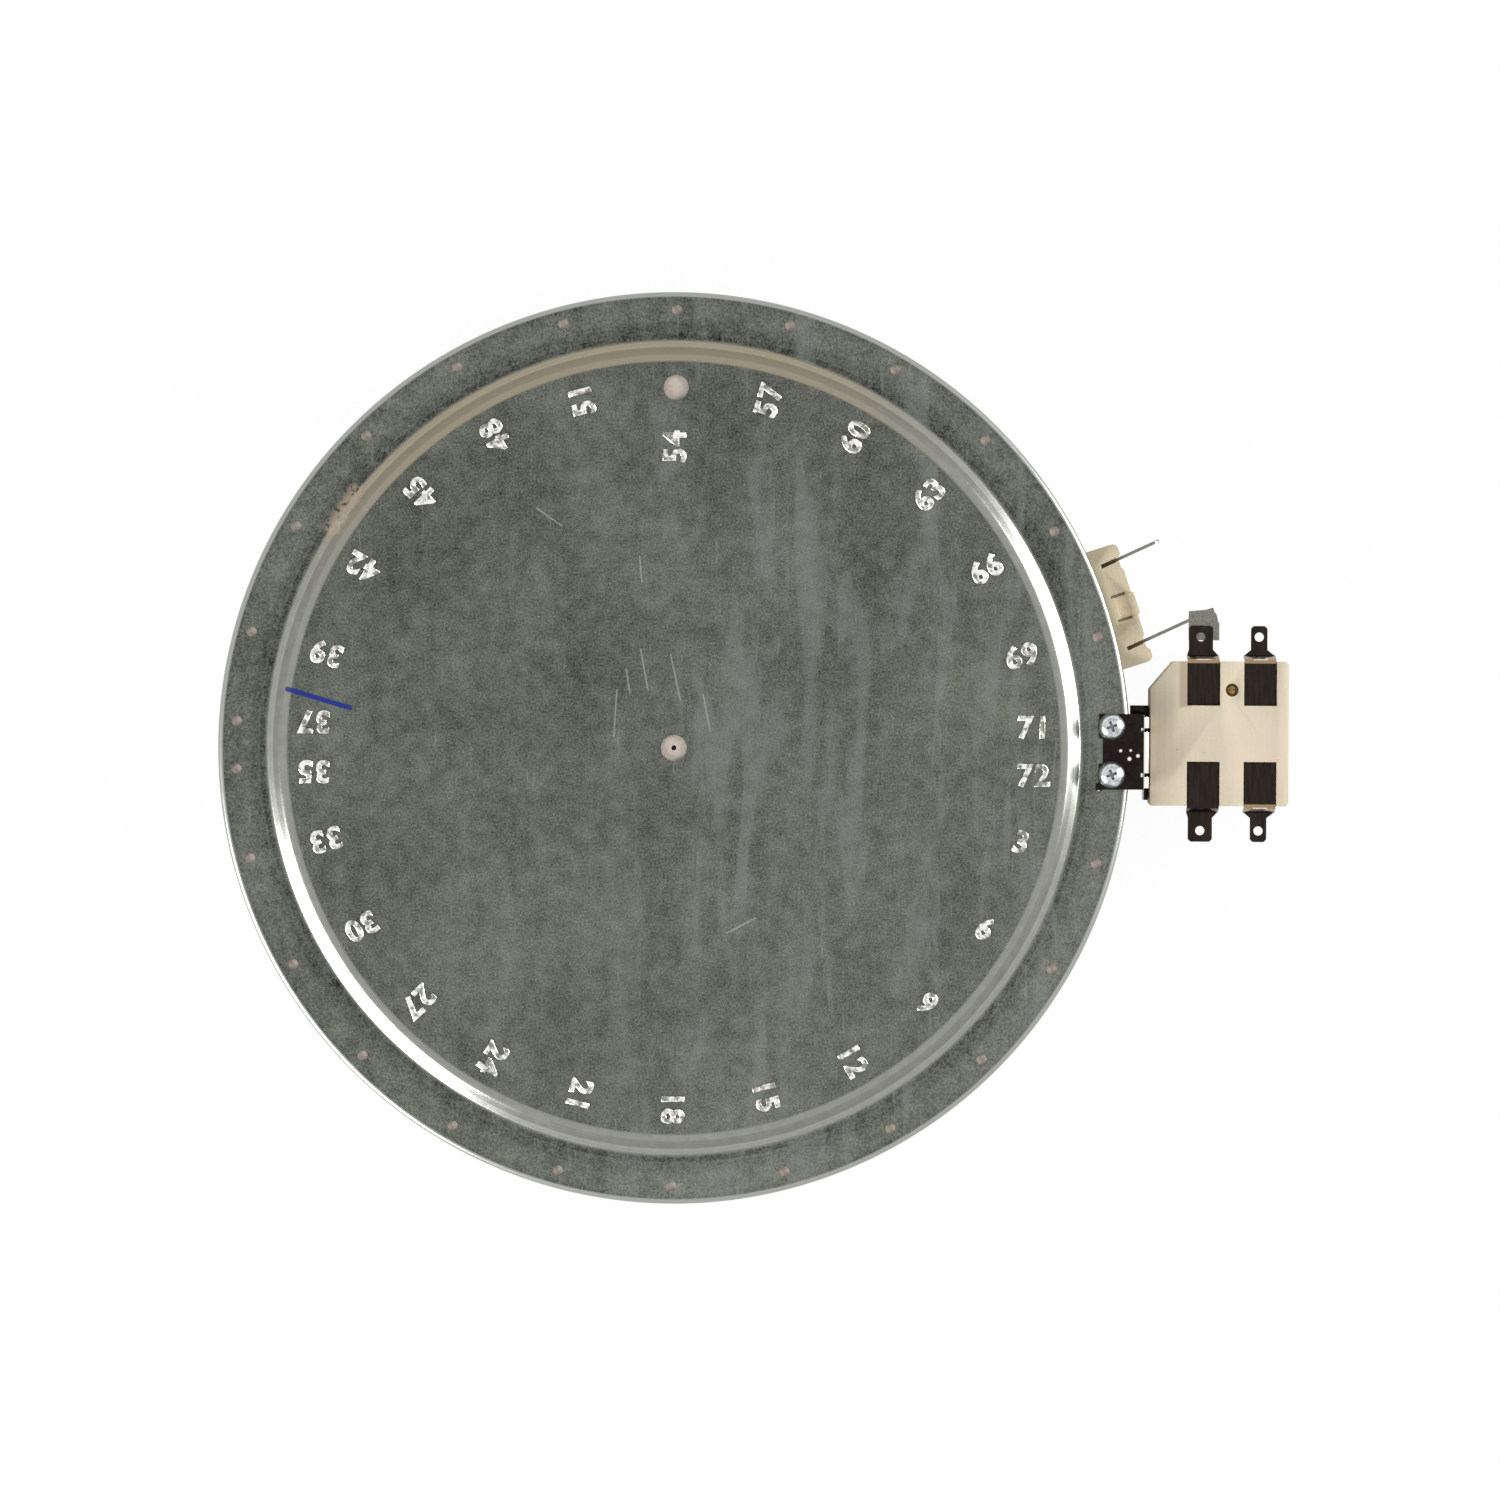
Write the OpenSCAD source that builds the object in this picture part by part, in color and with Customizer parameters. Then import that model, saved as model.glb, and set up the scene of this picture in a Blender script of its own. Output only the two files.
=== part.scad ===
// Radiant heating element of a glass-ceramic cooktop, lying glass side down.
// The origin is on the pan's axis in the face that presses on the glass, +Z points out of
// the underside and +X towards the temperature limiter.

/* [Pan] */
// Outer radius of the pan's side wall
pan_r = 118.6; // [117:0.1:121]
// Outer radius of the slightly flared rim
rim_r = 119; // [118.8:0.1:121.5]
// Thickness of the pan's sheet
pan_t = 0.6; // [0.5:0.1:0.8]
// Height of the rim's cut edge above the glass face
rim_z = 2; // [1.5:0.1:3]
// Height of the shoulder's outer surface above the glass face
shoulder_z = 24; // [23:0.5:27]
// Outside radius of the bend between side wall and shoulder
bend_r = 1.5; // [1.2:0.1:2]
// How far the middle disc stands proud of the shoulder
disc_rise = 3.5; // [3:0.1:3.9]
// Radius of the foot of the step round the disc
step_foot_r = 106.2; // [105:0.1:107]
// Radius at which the disc becomes flat
step_top_r = 101; // [99:0.1:101.5]

/* [Pan holes] */
// Radius of the circle of pilot holes
pilot_circle_r = 113.9; // [113:0.1:114.5]
// Radius of each pilot hole
pilot_r = 1.35; // [1.2:0.05:1.6]
// Angle between neighbouring pilot holes
pilot_step = 15; // [15:15:30]
// Distance between the two holes of the pair at each end of the X axis
pair_gap = 12.5; // [11:0.5:14]
// Radius of the hole in the middle of the disc
centre_hole_r = 3.35; // [3:0.05:4]
// Radius of the locating hole in the disc
locating_hole_r = 3.25; // [3:0.05:4]
// Distance of the locating hole from the pan's axis
locating_hole_y = 93.6; // [90:0.1:95]

/* [Insulation] */
// Height of the base's front face above the glass face
base_z = 17; // [16:0.5:18]
// Inner radius of the insulating ring
ring_in_r = 105; // [104:0.5:108]
// Clearance between the insulation and the pan's wall
insulation_gap = 0.2; // [0.1:0.1:0.5]

/* [Heating ribbon] */
// Number of concentric passes in each half
pass_count = 6; // [4:2:6]
// Radius of the outermost pass
pass_first_r = 95; // [90:1:97]
// Distance between neighbouring passes
pass_pitch = 16; // [14:0.5:16]
// Length of one half wave of the corrugation
half_wave = 3.6; // [3:0.1:5]
// Height of the corrugation to each side of the path
wave_amp = 1.9; // [1:0.1:2.5]
// Height of the ribbon where it stands on the base
ribbon_h = 6; // [4:0.5:6]
// Thickness of the ribbon
ribbon_t = 0.3; // [0.2:0.05:0.4]
// Half waves from one holding foot to the next
foot_every = 10; // [6:2:20]
// Depth of the feet in the base
foot_h = 3; // [2:0.5:4]

/* [Terminal block] */
// Direction from the pan's axis to the block
block_az = 18; // [17:0.5:19]
// Half the width of the block along the wall
block_half_w = 16; // [15.5:0.1:17]
// Distance from the pan's axis to the block's outer face
block_out = 125.7; // [125:0.1:127]
// Height at which the block begins
block_z0 = 4.5; // [4:0.5:6]
// Height of the block's face on the underside
block_z1 = 20.5; // [19:0.5:21.5]
// Distance of each blade from the block's middle
blade_v = 11.2; // [10:0.1:12]
// Slant of the blades against the block's middle line
blade_slant = 7; // [5:0.5:9]

/* [Blades and tabs] */
// Width of a power blade
blade_w = 6.3; // [6.3:0.1:6.4]
// Width of a signal tab
signal_tab_w = 4.3; // [4:0.1:4.8]
// Thickness of blades and tabs
blade_t = 0.8; // [0.7:0.1:0.9]
// Radius of the hole in each tab
tab_hole_r = 1.2; // [1:0.05:1.4]

/* [Limiter] */
// Distance from the pan's axis to the near side of the ceramic body
body_x0 = 124; // [123.8:0.1:124.5]
// Length of the ceramic body away from the pan
body_len = 36; // [36:0.5:38]
// Width of the ceramic body
body_w = 37.7; // [37.5:0.1:39]
// Distance of the body's middle line from the probe's axis
body_y = 4.6; // [4.4:0.1:4.8]
// Height of the cover's outer face above the glass face
body_z0 = 2; // [1.5:0.1:2.5]
// Height of the body's face on the underside
body_z1 = 21; // [20.5:0.1:22]
// Thickness of the ceramic cover
cover_t = 2; // [1.5:0.1:2.5]
// Height of the probe's axis above the glass face
probe_z = 7; // [6.8:0.1:7.2]
// Outer radius of the probe's quartz tube
tube_r = 2.75; // [2.5:0.05:3]
// Inner radius of the probe's quartz tube
tube_in_r = 1.95; // [1.8:0.05:2.1]
// Radius of the rod inside the tube
rod_r = 1; // [0.8:0.05:1.2]

/* [Bracket] */
// Thickness of the bracket's sheet
bracket_t = 1; // [0.8:0.1:1.2]
// Edge of the bracket nearest to the pan's axis
bracket_x0 = 110.5; // [110:0.1:111]
// Outer face of the bracket's turned-down flange
flange_x = 123.6; // [123.4:0.1:123.8]
// Radius of a screw head
head_r = 3.5; // [3.3:0.1:3.6]

/* [Hidden] */
$fn = 96;

// Pan section
disc_z = shoulder_z + disc_rise;
slope_a = 45;
step_foot_bend = 1.2;
step_top_bend = (step_foot_r - step_top_r - disc_rise) / tan(slope_a / 2) - step_foot_bend;
pan_in_r = pan_r - pan_t;
flare_z = rim_z + 1.2;

// Pilot holes: one every pilot_step, and a pair in place of those on the X axis
pair_a = asin(pair_gap / 2 / pilot_circle_r);
single_angles = [for (a = [0 : pilot_step : 359]) if (a % 180 != 0) a];
near_pair = [pair_a, -pair_a];
far_pair = [180 - pair_a, 180 + pair_a];

// Insulation
insulation_r = pan_in_r - insulation_gap;
pinhole_r = 0.65;
screw_core_r = 1.3;
screw_len = 9.5;
screw_tip = 1.3;

// Ribbon path, in a frame turned so that +X points at the gap between its two ends
gap_az = 16.4;
start_off = 9;
pass_r = [for (i = [0 : pass_count - 1]) pass_first_r - i * pass_pitch];
turn_r = pass_pitch / 2;
lane = turn_r + wave_amp + 2.5;
ribbon_z = base_z - ribbon_h;
foot_w = 2.4;
lead_t = 0.4;

// Terminal block and blades, in a frame turned by block_az
blade_z = 7.7;
slot_in = 120.3;
slot_w = 1;
shank_half_w = 13.5;
shank_in = 110;
shank_z = [6, 16];
ear_r = 1.6;
tongue = [-3.6, 2.9];
tongue_out = 0.7;
blade_pivot_u = 120;
blade_in_len = 23;
blade_out_len = 17.2;

// Limiter
body_y1 = body_y + body_w / 2;
body_y0 = body_y - body_w / 2;
column_x = [137.8, 152.6];
plate_w = 8.3;
plate_from = 7.45;
plate_to = 18.1;
plate_z = body_z1 - 1.8;
tab_z = 14;
tab_end = 28.2;
tab_hole_at = 25.3;
riser_run = 1.6;
flare_len = 1.4;
chamfer = [6, 7.1];
cavity_x = [129, 157];
cavity_y = [body_y0 + 3, body_y1 - 3];
cavity_z1 = 17;
neck_r = 4.2;
neck_x = 118.2;
collar_x = [120.9, flange_x - bracket_t - 0.1];
collar_r = 5.4;
adjuster = [145.2, body_y + 11.4];
bush_r = 1.7;
leg_w = 5;
leg_z = 5;
spring_t = 0.3;
contact_t = 0.8;
contact_r = 2;
leg_face_x = [for (x = column_x) x - plate_w / 2 + blade_t];
spring_x = [for (x = leg_face_x) x + 2 * contact_t];
cover_screw_xy = [[127, body_y0 + 2.6], [157.6, body_y1 - 2.6]];
cover_screw_r = 1.2;

// Probe
tube_x = [-111, 130.2];
cap_len = 1.6;
rod_x1 = 134.4;
probe_collar_r = 4;
push_pin_r = 1.6;

// Bracket
bracket_y = [-10.1, 9.6];
flange_y = [-9.7, 8.8];
wing_y = [-12.8, 11.9];
wing_z = 15;
flange_z0 = 3.5;
relief_y = [-6.3, 5.4];
relief_w = 1;
bracket_hole_r = 1.9;
flange_bend = 1.4;

// Points of an arc about c, from angle a0 to a1 in n steps
function arc(c, r, a0, a1, n = 8) =
    [for (i = [0 : n]) c + r * [cos(a0 + (a1 - a0) * i / n), sin(a0 + (a1 - a0) * i / n)]];

function turned(v, a) = [v.x * cos(a) - v.y * sin(a), v.x * sin(a) + v.y * cos(a)];

function reversed(v) = [for (i = [len(v) - 1 : -1 : 0]) v[i]];

// Section of the step round the disc, for a surface d below the pan's outer one
function step_line(d) = concat(
    [[0, disc_z - d]],
    arc([step_top_r, disc_z - step_top_bend], step_top_bend - d, 90, 90 - slope_a),
    arc([step_foot_r, shoulder_z + step_foot_bend], step_foot_bend + d, 270 - slope_a, 270)
);

// Section of the bend between shoulder and wall, for a surface d inside the outer one
function wall_line(d) = arc([pan_r - bend_r, shoulder_z - bend_r], bend_r - d, 90, 0);

function pan_section() = concat(
    step_line(0), wall_line(0),
    [[pan_r, flare_z], [rim_r, rim_z + pan_t], [rim_r, rim_z], [rim_r - pan_t, rim_z],
     [rim_r - pan_t, rim_z + pan_t], [pan_in_r, flare_z]],
    reversed(wall_line(pan_t)), reversed(step_line(pan_t))
);

module pilot_holes(angles, r) {
    for (a = angles)
        rotate(a)
            translate([pilot_circle_r, 0, shoulder_z - pan_t - 1])
                cylinder(r = r, h = pan_t + 2);
}

// Deep-drawn sheet pan that holds the insulation
module pan() {
    color([0.4, 0.41, 0.38])
        difference() {
            rotate_extrude($fn = 180)
                polygon(pan_section());
            pilot_holes(concat(single_angles, near_pair, far_pair), pilot_r);
            translate([0, 0, disc_z - 2])
                cylinder(r = centre_hole_r, h = 4);
            translate([0, locating_hole_y, disc_z - 2])
                cylinder(r = locating_hole_r, h = 4);
            probe_notch();
            block_window();
        }
}

// Notch in the wall for the limiter's neck, open at the rim
module probe_notch() {
    clear_r = neck_r + 0.5;
    translate([pan_r - 10, 0, probe_z])
        rotate([0, 90, 0])
            cylinder(r = clear_r, h = 20);
    translate([pan_r - 10, -clear_r, 0])
        cube([20, 2 * clear_r, probe_z]);
}

// Window in the wall for the terminal block's shank
module block_window() {
    rotate(block_az)
        translate([pan_r - 10, -shank_half_w - 0.3, shank_z[0] - 0.3])
            cube([20, 2 * shank_half_w + 0.6, shank_z[1] - shank_z[0] + 0.6]);
}

// Pressed microporous base, seated against the pan and carrying the ribbon
module insulation_base() {
    color([0.82, 0.76, 0.7])
        difference() {
            rotate_extrude($fn = 180)
                polygon(concat(
                    [[0, base_z], [insulation_r, base_z], [insulation_r, shoulder_z - bend_r]],
                    [[pan_r - bend_r, shoulder_z - pan_t]],
                    reversed(step_line(pan_t))
                ));
            ribbon_feet();
            translate([0, 0, base_z - 1])
                cylinder(r = pinhole_r, h = disc_z);
            screw_holes();
        }
}

// Holes that the two bracket screws cut in the insulation
module screw_holes() {
    depth = screw_len - bracket_t + 0.2;
    for (a = near_pair)
        rotate(a)
            translate([pilot_circle_r, 0, shoulder_z - depth])
                cylinder(r = pilot_r, h = depth);
}

// Pressed ring that stands proud of the rim and seals against the glass
module insulation_ring() {
    edge = 0.8;
    color([0.85, 0.81, 0.74])
        difference() {
            rotate_extrude($fn = 180)
                polygon([
                    [ring_in_r + edge, 0], [insulation_r, 0], [insulation_r, base_z],
                    [ring_in_r, base_z], [ring_in_r, edge]
                ]);
            translate([tube_x[0] - cap_len - 0.3, 0, probe_z])
                rotate([0, 90, 0])
                    cylinder(r = tube_r + 0.25, h = 2 * pan_r);
            screw_holes();
            rotate(block_az) {
                translate([shank_in, -shank_half_w, shank_z[0]])
                    cube([20, 2 * shank_half_w, shank_z[1] - shank_z[0]]);
                for (side = [1, -1])
                    blade_frame(side)
                        translate([-20, -slot_w / 2, blade_z - 0.1])
                            cube([20, slot_w, blade_w + 0.2]);
            }
        }
}

// Angle from the gap to the turn between passes i and i + 1
function turn_off(i) = asin(lane / ((pass_r[i] + pass_r[i + 1]) / 2));

// Samples along an arc: each is a point and the unit vector to its left
function along(c, r, a0, a1) =
    let (waves = round(abs(a1 - a0) * PI / 180 * r / (2 * half_wave)), n = 2 * max(waves, 1),
         s = a1 > a0 ? -1 : 1)
    [for (k = [0 : n - 1]) let (a = a0 + (a1 - a0) * k / n, d = [cos(a), sin(a)]) [c + r * d, s * d]];

// One pass of the half path, and the turn that leads from it to the next one
function pass(i) =
    let (near = i == 0 ? start_off : i == pass_count - 1 ? 0 : turn_off(i % 2 == 1 ? i : i - 1),
         far = 180 - turn_off(i % 2 == 0 ? i : i - 1))
    i % 2 == 0 ? along([0, 0], pass_r[i], near, far) : along([0, 0], pass_r[i], far, near);

function turn(i) =
    let (a = i % 2 == 0 ? 180 - turn_off(i) : turn_off(i),
         mid_r = (pass_r[i] + pass_r[i + 1]) / 2)
    along(mid_r * [cos(a), sin(a)], turn_r, a, i % 2 == 0 ? a + 180 : a - 180);

function half_path() = [
    for (i = [0 : pass_count - 1])
        each concat(pass(i), i < pass_count - 1 ? turn(i) : [])
];

// The half path, the point where it crosses the gap, and its mirror image back out
function ribbon_path() =
    let (half = half_path(), crossing = [[pass_r[pass_count - 1], 0], [1, 0]])
    concat(half, [crossing], [for (p = reversed(half)) [[p[0].x, -p[0].y], [p[1].x, -p[1].y]]]);

// Corrugated middle line: the path set off to either side in turn, straight at both ends
function corrugated(path) = [
    for (j = [0 : len(path) - 1])
        let (w = j == 0 || j == len(path) - 1 ? 0 : j % 2 == 0 ? wave_amp : -wave_amp)
        path[j][0] + w * path[j][1]
];

// Long strip that winds to and fro over the base, corrugated and standing on edge
module heating_ribbon() {
    path = ribbon_path();
    line = corrugated(path);
    across = ribbon_t / 2 / cos(atan(2 * wave_amp / half_wave));
    left = [for (j = [0 : len(path) - 1]) line[j] + across * path[j][1]];
    right = [for (j = [0 : len(path) - 1]) line[j] - across * path[j][1]];
    color([0.45, 0.4, 0.36]) {
        rotate(gap_az)
            translate([0, 0, ribbon_z])
                linear_extrude(ribbon_h)
                    polygon(concat(left, reversed(right)));
        ribbon_feet();
    }
}

// Feet of the ribbon, pressed into the base at even steps along it
module ribbon_feet() {
    line = corrugated(ribbon_path());
    rotate(gap_az)
        for (j = [foot_every / 2 : foot_every : len(line) - 2]) {
            d = line[j + 1] - line[j];
            mid = (line[j + 1] + line[j]) / 2;
            translate([mid.x, mid.y, base_z + foot_h / 2 - 0.5])
                rotate(atan2(d.y, d.x))
                    cube([foot_w, ribbon_t * 0.8, foot_h + 1], center = true);
        }
}

// Puts its children in the frame of a blade: +X along the blade, origin where it enters its slot
module blade_frame(side) {
    translate([blade_pivot_u, side * blade_v, 0])
        rotate(blade_slant)
            children();
}

function in_block_frame(side, p) = [blade_pivot_u, side * blade_v] + turned(p, blade_slant);

function in_pan_frame(side, p) = turned(in_block_frame(side, p), block_az);

// Strip that laps the inner end of a blade and leads to the ribbon's end
module ribbon_lead(side) {
    lap = side * (blade_t + lead_t) / 2;
    start = in_pan_frame(side, [-blade_in_len + 4, lap]);
    bend = in_pan_frame(side, [-blade_in_len - 0.6, lap]);
    stop = turned(pass_first_r * [cos(start_off), side * sin(start_off)], gap_az);
    stop_in = bend + (stop - bend) * (1 - 0.3 / norm(stop - bend));
    translate([0, 0, ribbon_z])
        linear_extrude(ribbon_h)
            strip([start, bend, stop_in], lead_t);
}

// Flat strip of even thickness along three points
module strip(points, t) {
    a = points[1] - points[0];
    b = points[2] - points[1];
    na = [-a.y, a.x] / norm(a);
    nb = [-b.y, b.x] / norm(b);
    mitre = (na + nb) / norm(na + nb) / cos(acos(min(1, na * nb)) / 2);
    polygon([
        points[0] + na * t / 2, points[1] + mitre * t / 2, points[2] + nb * t / 2,
        points[2] - nb * t / 2, points[1] - mitre * t / 2, points[0] - na * t / 2
    ]);
}

module ribbon_lead_feed() {
    color([0.5, 0.47, 0.43])
        ribbon_lead(1);
}

module ribbon_lead_link() {
    color([0.5, 0.47, 0.43])
        ribbon_lead(-1);
}

// Outline of the block seen from the underside: rounded ears, shallow dips at the blades
// and a tongue in the middle
function block_outline() =
    let (out = block_out, w = block_half_w, dip = 0.5, dip_w = 1.8, root = pan_r - 4)
    concat(
        [[root, -w], [out - ear_r - 0.4, -w]],
        arc([out - ear_r + 0.3, -w + ear_r], ear_r, -75, 0, 5),
        [[out + 0.3, -blade_v - dip_w], [out - dip, -blade_v - dip_w + 0.8]],
        [[out - dip, -blade_v + dip_w], [out, -blade_v + dip_w + 0.6]],
        [[out, tongue[0]], [out + tongue_out, tongue[0] + 0.5]],
        [[out + tongue_out, tongue[1] - 0.5], [out, tongue[1]]],
        [[out, blade_v - dip_w - 0.6], [out - dip, blade_v - dip_w]],
        [[out - dip, blade_v + dip_w - 0.8], [out + 0.3, blade_v + dip_w]],
        arc([out - ear_r + 0.3, w - ear_r], ear_r, 0, 75, 5),
        [[out - ear_r - 0.4, w], [root, w]]
    );

// Ceramic block on the wall that brings the two blades through to the ribbon
module terminal_block() {
    color([0.78, 0.72, 0.62])
        rotate(block_az)
            difference() {
                union() {
                    difference() {
                        translate([0, 0, block_z0])
                            linear_extrude(block_z1 - block_z0)
                                polygon(block_outline());
                        cylinder(r = pan_r, h = 2 * shoulder_z, $fn = 180);
                    }
                    translate([shank_in, -shank_half_w, shank_z[0]])
                        cube([pan_r + 1 - shank_in, 2 * shank_half_w, shank_z[1] - shank_z[0]]);
                }
                block_slots();
                tongue_step();
            }
}

// Slots for the blades: open towards the underside outside the wall, closed within the shank
module block_slots() {
    for (side = [1, -1])
        blade_frame(side) {
            translate([slot_in - blade_pivot_u, -slot_w / 2, blade_z - 0.1])
                cube([20, slot_w, block_z1]);
            translate([-20, -slot_w / 2, blade_z - 0.1])
                cube([21, slot_w, blade_w + 0.2]);
        }
}

// The tongue is lower than the rest of the block, with a groove along each side of it
module tongue_step() {
    depth = 1.4;
    groove = 0.7;
    translate([pan_r + 2.4, tongue[0], block_z1 - depth])
        cube([20, tongue[1] - tongue[0], 2 * depth]);
    for (v = tongue)
        translate([pan_r + 1.6, v - groove / 2, block_z1 - depth - 1])
            cube([block_out - pan_r - 3.2, groove, 2 * depth]);
}

// Outline of a push-on blade standing on edge, from x0 to its chamfered tip at x1
module blade_side(x0, x1, w) {
    tip = 1.2;
    polygon([
        [x0, 0], [x1 - tip, 0], [x1, tip], [x1, w - tip], [x1 - tip, w], [x0, w]
    ]);
}

// Free blade, with a hole for the latch of its receptacle
module blade_feed() {
    color([0.5, 0.5, 0.48])
        rotate(block_az)
            blade_frame(1)
                translate([0, blade_t / 2, blade_z])
                    rotate([90, 0, 0])
                        difference() {
                            linear_extrude(blade_t)
                                blade_side(-blade_in_len, blade_out_len, blade_w);
                            translate([blade_out_len - 7, blade_w / 2, -1])
                                cylinder(r = tab_hole_r, h = blade_t + 2);
                        }
}

// Blade that runs on as a strap to the limiter, with a flap turned under the limiter's tab
module blade_link() {
    reach = 25.4;
    near = in_pan_frame(-1, [reach, 0]);
    far = [138.3, 36.5];
    run = far - near;
    across = [-run.y, run.x] / norm(run) * blade_t / 2;
    tab_x = column_x[0] - 0.5;
    color([0.5, 0.5, 0.48])
        union() {
            rotate(block_az)
                blade_frame(-1)
                    translate([-blade_in_len, -blade_t / 2, blade_z])
                        cube([blade_in_len + reach, blade_t, blade_w]);
            translate([0, 0, blade_z])
                linear_extrude(blade_w)
                    polygon([near - across, far - across, far + across, near + across]);
            translate([0, 0, tab_z - blade_t])
                linear_extrude(blade_t)
                    polygon([
                        near, far + across, [tab_x + 3.2, far.y + 0.4], [tab_x + 4.1, far.y - 0.8],
                        [tab_x + 4.8, far.y - 3.9], [tab_x + 4.8, 29], [tab_x - 3.2, 29],
                        [tab_x - 3.2, near.y - 0.6]
                    ]);
            // edge of the flap, turned down beside the tab
            translate([tab_x + 4, 29, tab_z - 3.4])
                cube([blade_t, 4.6, 3.4]);
        }
}

// Folded sheet: a plate screwed to the shoulder and a flange that grips the limiter's neck
module mounting_bracket() {
    z0 = shoulder_z;
    color([0.12, 0.11, 0.11])
        difference() {
            union() {
                bracket_fold();
                translate([flange_x - bracket_t, wing_y[0], flange_z0])
                    cube([bracket_t, wing_y[1] - wing_y[0], wing_z - flange_z0]);
                // lug towards the pan beside the flange
                translate([118.9, bracket_y[1], wing_z - bracket_t])
                    cube([flange_x - 118.9, wing_y[1] - bracket_y[1], bracket_t]);
                // small ear at the lower corner
                translate([bracket_x0 - 0.8, bracket_y[0] - 0.4, z0])
                    cube([1.6, 2, bracket_t]);
            }
            for (a = near_pair)
                rotate(a)
                    translate([pilot_circle_r, 0, z0 - 1])
                        cylinder(r = bracket_hole_r, h = bracket_t + 2);
            translate([bracket_x0 - 1, -3.4, z0 - 1])
                cube([2, 6.6, bracket_t + 2]);
            // slot that slips over the neck
            translate([flange_x - 3, 0, probe_z])
                rotate([0, 90, 0])
                    cylinder(r = neck_r + 0.1, h = 6);
            translate([flange_x - 3, -neck_r - 0.1, 0])
                cube([6, 2 * neck_r + 0.2, probe_z]);
            for (y = relief_y)
                translate([flange_x - 2.2, y - relief_w / 2, z0 - 4])
                    cube([4, relief_w, 8]);
        }
}

// Plate and flange in one bend, drawn as a section and extruded along Y
module bracket_fold() {
    z1 = shoulder_z + bracket_t;
    bend_at = [flange_x - flange_bend, z1 - flange_bend];
    section = concat(
        [[bracket_x0, shoulder_z], [bracket_x0, z1]],
        arc(bend_at, flange_bend, 90, 0, 6),
        [[flange_x, flange_z0], [flange_x - bracket_t, flange_z0]],
        arc(bend_at, flange_bend - bracket_t, 0, 90, 3)
    );
    translate([0, flange_y[1], 0])
        rotate([90, 0, 0])
            linear_extrude(flange_y[1] - flange_y[0])
                polygon(section);
    for (margin = [[bracket_y[0], flange_y[0]], [flange_y[1], bracket_y[1]]])
        translate([bracket_x0, margin[0], shoulder_z])
            cube([bend_at.x - bracket_x0, margin[1] - margin[0], bracket_t]);
}

// Cross-recessed pan-head screw with its thread's core
module pan_head_screw() {
    head_h = 2.4;
    dome_r = (head_r * head_r + head_h * head_h) / (2 * head_h);
    difference() {
        union() {
            rotate_extrude()
                intersection() {
                    translate([0, head_h - dome_r])
                        circle(r = dome_r);
                    square([head_r, head_h]);
                }
            translate([0, 0, screw_tip - screw_len])
                cylinder(r = screw_core_r, h = screw_len - screw_tip + 0.5);
            translate([0, 0, -screw_len])
                cylinder(r1 = 0.2, r2 = screw_core_r, h = screw_tip);
        }
        for (a = [0, 90])
            rotate(a)
                translate([-2, -0.4, 0.9])
                    cube([4, 0.8, 3]);
    }
}

// The two screws that hold the bracket on the shoulder
module bracket_screws() {
    color([0.78, 0.8, 0.8])
        for (a = near_pair)
            rotate(a)
                translate([pilot_circle_r, 0, shoulder_z + bracket_t])
                    rotate(20)
                        pan_head_screw();
}

// Outline of the ceramic body seen from the underside, set in by d
module body_outline(d) {
    x0 = body_x0 + d;
    x1 = body_x0 + body_len - d;
    y0 = body_y0 + d;
    y1 = body_y1 - d;
    polygon([
        [x0 + 0.8, y0], [x1 - 0.8, y0], [x1, y0 + 0.8], [x1, y1 - 0.8], [x1 - 0.8, y1],
        [x0 + chamfer.x, y1], [x0, y1 - chamfer.y], [x0, y0 + 0.8]
    ]);
}

// Ceramic body of the limiter: pockets for four terminals, a chamber for the switches
// and a grooved neck that the bracket grips
module limiter_base() {
    color([0.82, 0.76, 0.66])
        difference() {
            union() {
                translate([0, 0, body_z0 + cover_t])
                    linear_extrude(body_z1 - body_z0 - cover_t)
                        body_outline(0);
                translate([neck_x, 0, probe_z])
                    rotate([0, 90, 0]) {
                        cylinder(r = neck_r, h = body_x0 + 1 - neck_x);
                        translate([0, 0, collar_x[0] - neck_x])
                            cylinder(r = collar_r, h = collar_x[1] - collar_x[0]);
                    }
            }
            switch_chamber();
            translate([neck_x - 1, 0, probe_z])
                rotate([0, 90, 0])
                    cylinder(r = tube_r, h = 20);
            for (i = [0, 1], side = [1, -1])
                terminal_pocket(i, side);
            translate([adjuster.x, adjuster.y, cavity_z1 - 1])
                cylinder(r = bush_r, h = 10);
            for (p = cover_screw_xy)
                translate([p.x, p.y, body_z0])
                    cylinder(r = cover_screw_r, h = 8);
        }
}

// Chamber for springs and contacts, open towards the cover
module switch_chamber() {
    translate([cavity_x[0], cavity_y[0], body_z0])
        cube([cavity_x[1] - cavity_x[0], cavity_y[1] - cavity_y[0], cavity_z1 - body_z0]);
}

// Pocket for a terminal's plate, a recess for its riser and a slit for its leg
module terminal_pocket(i, side) {
    slack = 0.15;
    x0 = column_x[i] - plate_w / 2 - slack;
    translate([0, body_y, 0])
        flip_y(side) {
            translate([x0, plate_from - slack, plate_z])
                cube([plate_w + 2 * slack, body_w / 2, 10]);
            translate([x0, plate_from + 0.3, cavity_z1 - 1])
                cube([blade_t + 2 * slack, leg_w + 0.3, 10]);
        }
}

// Mirrors its children in Y where side is negative
module flip_y(side) {
    mirror([0, side < 0 ? 1 : 0, 0])
        children();
}

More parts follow.
